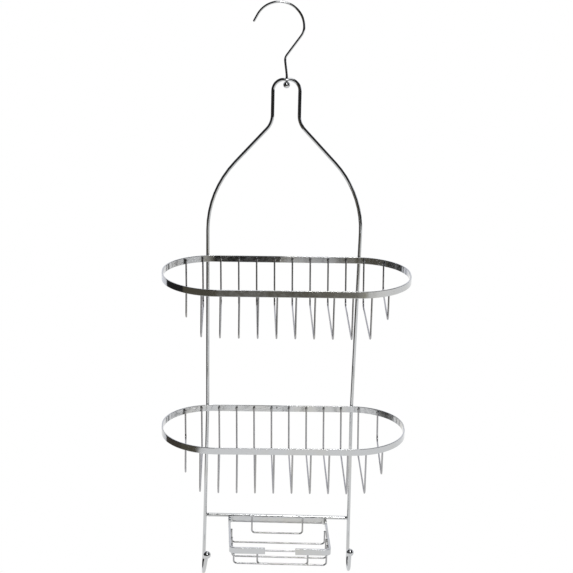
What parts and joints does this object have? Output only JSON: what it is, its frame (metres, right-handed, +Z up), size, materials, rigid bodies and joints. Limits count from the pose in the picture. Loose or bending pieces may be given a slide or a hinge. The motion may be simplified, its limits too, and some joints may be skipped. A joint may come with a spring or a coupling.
{
  "type": "shower caddy",
  "caption": "Hanging wire shower caddy: oval-rimmed wire baskets over a soap dish on a tall bent-wire frame with ball-tipped side hooks, hung from a swivelling top hook.",
  "frame": {"origin": "the seat: the highest point of the inside of the top hook, where it rests on a shower arm", "axes": "+Z up along the hanging direction, +X to the user's right, the user looks along +Y with the baskets on the -Y side of the frame"},
  "size_m": [0.26, 0.1296, 0.6451],
  "materials": {
    "frame_steel": "bright chrome plate on 4.3 mm, 3.8 mm and 2.6 mm steel wire",
    "band_steel": "chrome plate on flat steel band, slightly softer than the wire",
    "wire_steel": "chrome plate on 1.9 mm steel wire"
  },
  "bodies": {
    "hook": {"swivel_hook": "frame_steel", "hook_ball": "frame_steel"},
    "caddy": {"frame_wire": "frame_steel", "left_foot_ball": "frame_steel", "right_foot_ball": "frame_steel", "crossbar": "frame_steel", "upper_basket_rim": "band_steel", "lower_basket_rim": "band_steel", "soap_dish_rim": "band_steel", "upper_basket_tine_01": "wire_steel", "upper_basket_tine_02": "wire_steel", "upper_basket_tine_03": "wire_steel", "upper_basket_tine_04": "wire_steel", "upper_basket_tine_05": "wire_steel", "upper_basket_tine_06": "wire_steel", "upper_basket_tine_07": "wire_steel", "upper_basket_tine_08": "wire_steel", "upper_basket_tine_09": "wire_steel", "upper_basket_tine_10": "wire_steel", "upper_basket_tine_11": "wire_steel", "upper_basket_tine_12": "wire_steel", "lower_basket_tine_01": "wire_steel", "lower_basket_tine_02": "wire_steel", "lower_basket_tine_03": "wire_steel", "lower_basket_tine_04": "wire_steel", "lower_basket_tine_05": "wire_steel", "lower_basket_tine_06": "wire_steel", "lower_basket_tine_07": "wire_steel", "lower_basket_tine_08": "wire_steel", "lower_basket_tine_09": "wire_steel", "lower_basket_tine_10": "wire_steel", "lower_basket_tine_11": "wire_steel", "lower_basket_tine_12": "wire_steel", "dish_back_wire": "wire_steel", "dish_cross_wire_1": "wire_steel", "dish_cross_wire_2": "wire_steel", "dish_cross_wire_3": "wire_steel", "dish_front_wire": "wire_steel", "dish_inner_front_wire": "wire_steel"}
  },
  "joints": [
    {"name": "hook_swivel", "type": "hinge", "parent": "hook", "child": "caddy", "pos_m": [0.0088, 0, -0.0794], "axis": [0, 0, 1], "continuous": true}
  ]
}
